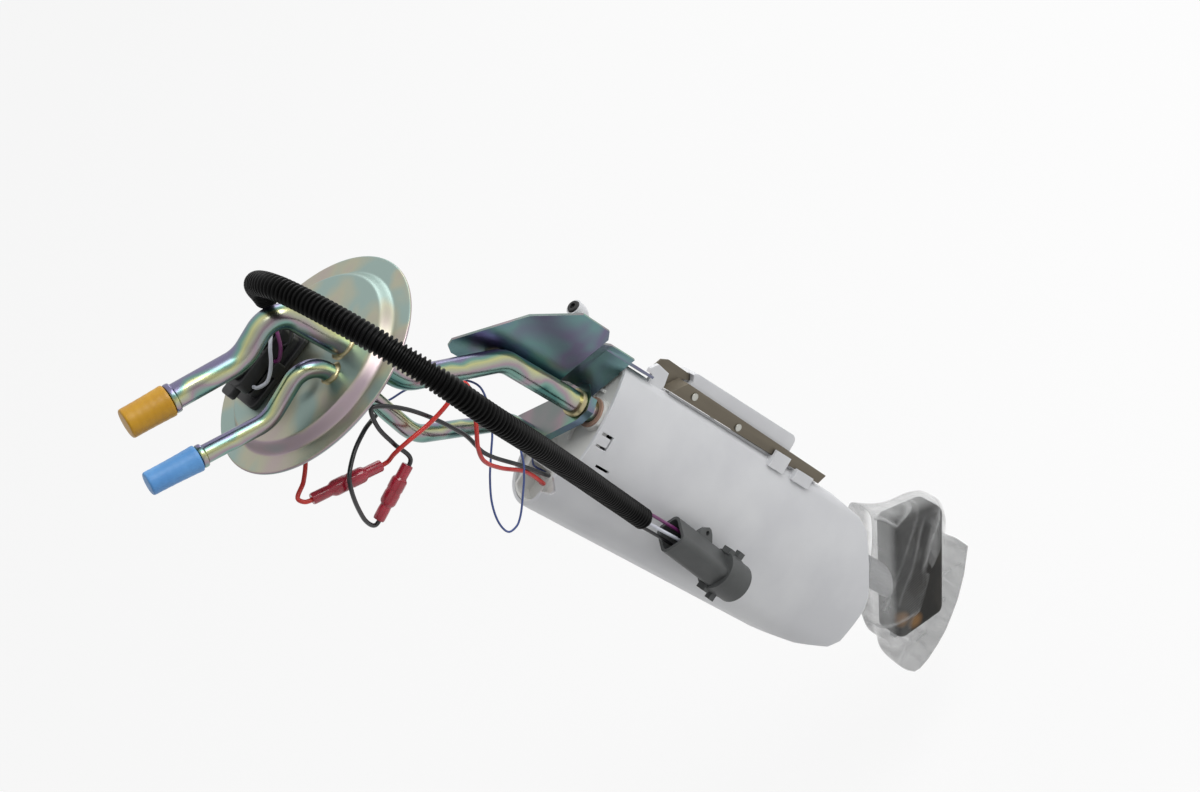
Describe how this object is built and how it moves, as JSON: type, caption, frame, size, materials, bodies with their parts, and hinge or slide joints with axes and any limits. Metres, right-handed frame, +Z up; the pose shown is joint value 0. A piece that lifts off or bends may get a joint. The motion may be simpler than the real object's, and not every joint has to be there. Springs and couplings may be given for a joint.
{
  "type": "fuel pump module",
  "caption": "In-tank fuel pump module: tank flange with two fuel lines, oval reservoir holding the pump, strainer, level sender with float, wiring and corrugated loom with its plug.",
  "frame": {"origin": "centre of the tank flange, on the plane of its sealing rim's underside", "axes": "+Z up along the fuel lines away from the tank, -Z down the reservoir, -Y the side with the loom and plug, +X the side of the level sender"},
  "size_m": [0.2012, 0.1772, 0.5962],
  "materials": {
    "zinc_plate": "yellowish zinc plating",
    "steel": "bright steel",
    "dark_steel": "dull steel",
    "yellow_cap": "soft yellow plastic",
    "blue_cap": "soft blue plastic",
    "black_plastic": "satin",
    "black_rubber": "matt",
    "natural_acetal": "satin, slightly see-through white",
    "white_plastic": "satin",
    "grey_plastic": "satin",
    "blue_rubber": "matt",
    "red_insulation": "soft gloss",
    "black_insulation": "soft gloss",
    "blue_insulation": "soft gloss",
    "mixed_insulation": "soft gloss",
    "dark_red_plastic": "gloss",
    "brass": "bright",
    "copper": "wound copper and iron",
    "strainer_mesh": "woven filter cloth",
    "clear_film": "crinkled clear film",
    "circuit_card": "printed resistor card"
  },
  "bodies": {
    "module": {"flange": "zinc_plate", "supply_line": "zinc_plate", "return_line": "zinc_plate", "bulkhead_connector": "black_plastic", "harness_plug": "black_plastic", "harness_wires": "mixed_insulation", "loom": "black_plastic", "plug_wires": "mixed_insulation", "loom_plug": "grey_plastic", "plug_seal": "blue_rubber", "plug_pins": "brass", "red_wires": "red_insulation", "black_wires": "black_insulation", "blue_wire": "blue_insulation", "crimp_sleeves": "dark_red_plastic", "crimp_barrels": "steel", "hanger": "zinc_plate", "hanger_screws": "steel", "vent_tower": "white_plastic", "vent_cap": "black_rubber", "reservoir": "natural_acetal", "lid": "natural_acetal", "lid_terminals": "copper", "line_seals": "black_rubber", "outlet_hose": "black_rubber", "return_hose": "black_rubber", "hose_clamps": "steel", "cradle": "natural_acetal", "isolator": "black_rubber", "pump_shell": "steel", "outlet_end": "black_plastic", "inlet_end": "black_plastic", "jet_pump": "black_plastic", "pump_leads": "mixed_insulation", "strainer_frame": "natural_acetal", "strainer_mesh": "strainer_mesh", "strainer_bag": "clear_film", "sender_strip": "dark_steel", "sender_rivets": "steel", "sender_housing": "white_plastic", "sender_card": "circuit_card"},
    "supply_cap": {"supply_cap": "yellow_cap"},
    "return_cap": {"return_cap": "blue_cap"},
    "rotor": {"armature": "copper"},
    "valve": {"check_poppet": "white_plastic"},
    "float_lever": {"float_arm": "steel", "arm_clip": "white_plastic", "float": "black_plastic"}
  },
  "joints": [
    {"name": "supply_cap_pull", "type": "slide", "parent": "module", "child": "supply_cap", "axis": [-0.832, 0, 0.5548], "range_m": [0, 0.028]},
    {"name": "return_cap_pull", "type": "slide", "parent": "module", "child": "return_cap", "axis": [-0.807, 0, 0.5906], "range_m": [0, 0.032]},
    {"name": "rotor_spin", "type": "hinge", "parent": "module", "child": "rotor", "pos_m": [0.049, -0.003, -0.3], "axis": [0, 0, 1], "continuous": true},
    {"name": "valve_lift", "type": "slide", "parent": "module", "child": "valve", "axis": [0, 0, 1], "range_m": [0, 0.002]},
    {"name": "float_swing", "type": "hinge", "parent": "module", "child": "float_lever", "pos_m": [0.091, 0, -0.27], "axis": [0, 1, 0], "range_deg": [0, 100]}
  ]
}
